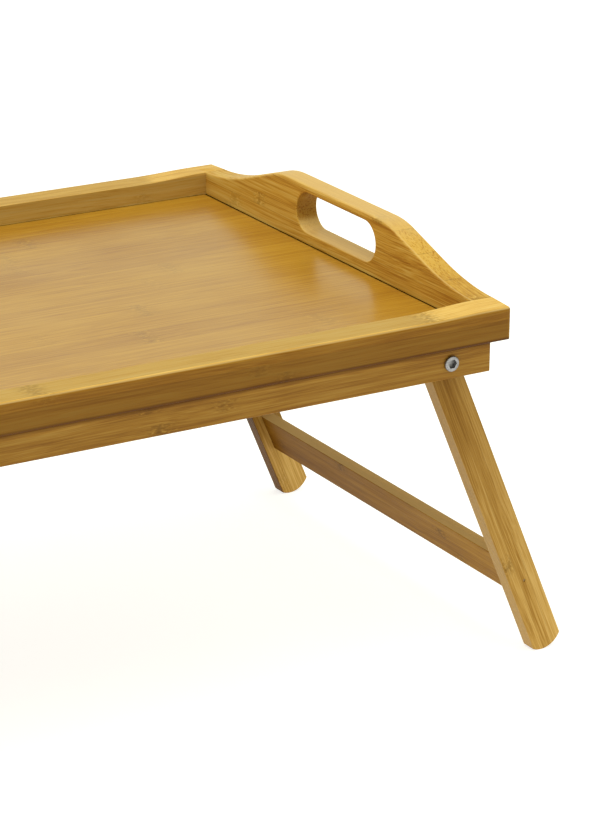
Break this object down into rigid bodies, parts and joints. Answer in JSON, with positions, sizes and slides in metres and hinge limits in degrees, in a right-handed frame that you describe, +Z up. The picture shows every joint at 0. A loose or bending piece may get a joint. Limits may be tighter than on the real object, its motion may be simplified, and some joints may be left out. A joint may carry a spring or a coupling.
{
  "type": "folding tray table",
  "caption": "Bamboo tray with raised handle panels and hand slots, on two splayed leg frames that pivot at the aprons and fold flat under it.",
  "frame": {"origin": "on the floor, under the middle of the tray", "axes": "+X along the tray, towards its right handle; +Y from the front rail towards the back rail; +Z up"},
  "size_m": [0.6004, 0.3, 0.2198],
  "materials": {
    "bamboo_frame": "caramel bamboo, satin lacquer",
    "bamboo_board": "pale caramel bamboo, satin lacquer",
    "bamboo_leg": "caramel bamboo, satin lacquer",
    "dowel_wood": "plain beech",
    "bright_steel": "bright nickel plate",
    "zinc_steel": "zinc plate",
    "dark_steel": "dulled by filler",
    "nylon": "natural nylon"
  },
  "bodies": {
    "tray": {"front_rail": "bamboo_frame", "back_rail": "bamboo_frame", "handle_panel_left": "bamboo_frame", "handle_panel_right": "bamboo_frame", "tray_board": "bamboo_board", "front_apron": "bamboo_frame", "back_apron": "bamboo_frame", "left_front_pivot_barrel": "bright_steel", "left_back_pivot_barrel": "bright_steel", "right_front_pivot_barrel": "bright_steel", "right_back_pivot_barrel": "bright_steel", "left_front_pivot_screw": "bright_steel", "left_back_pivot_screw": "bright_steel", "right_front_pivot_screw": "bright_steel", "right_back_pivot_screw": "bright_steel", "left_front_pivot_washer": "nylon", "left_back_pivot_washer": "nylon", "right_front_pivot_washer": "nylon", "right_back_pivot_washer": "nylon", "front_apron_screw_1": "zinc_steel", "front_apron_screw_2": "zinc_steel", "front_apron_screw_3": "zinc_steel", "back_apron_screw_1": "zinc_steel", "back_apron_screw_2": "zinc_steel", "back_apron_screw_3": "zinc_steel", "corner_dowel_left_front_1": "dowel_wood", "corner_dowel_left_front_2": "dowel_wood", "corner_dowel_left_back_1": "dowel_wood", "corner_dowel_left_back_2": "dowel_wood", "corner_dowel_right_front_1": "dowel_wood", "corner_dowel_right_front_2": "dowel_wood", "corner_dowel_right_back_1": "dowel_wood", "corner_dowel_right_back_2": "dowel_wood"},
    "right_legs": {"right_front_leg": "bamboo_leg", "right_back_leg": "bamboo_leg", "right_crossbar": "bamboo_frame", "right_front_brad": "dark_steel", "right_back_brad": "dark_steel"},
    "left_legs": {"left_front_leg": "bamboo_leg", "left_back_leg": "bamboo_leg", "left_crossbar": "bamboo_frame", "left_front_brad": "dark_steel", "left_back_brad": "dark_steel"}
  },
  "joints": [
    {"name": "right_leg_fold", "type": "hinge", "parent": "tray", "child": "right_legs", "pos_m": [0.2205, 0, 0.17304], "axis": [0, 1, 0], "range_deg": [0, 113]},
    {"name": "left_leg_fold", "type": "hinge", "parent": "tray", "child": "left_legs", "pos_m": [-0.2205, 0, 0.17304], "axis": [0, -1, 0], "range_deg": [0, 113]}
  ]
}
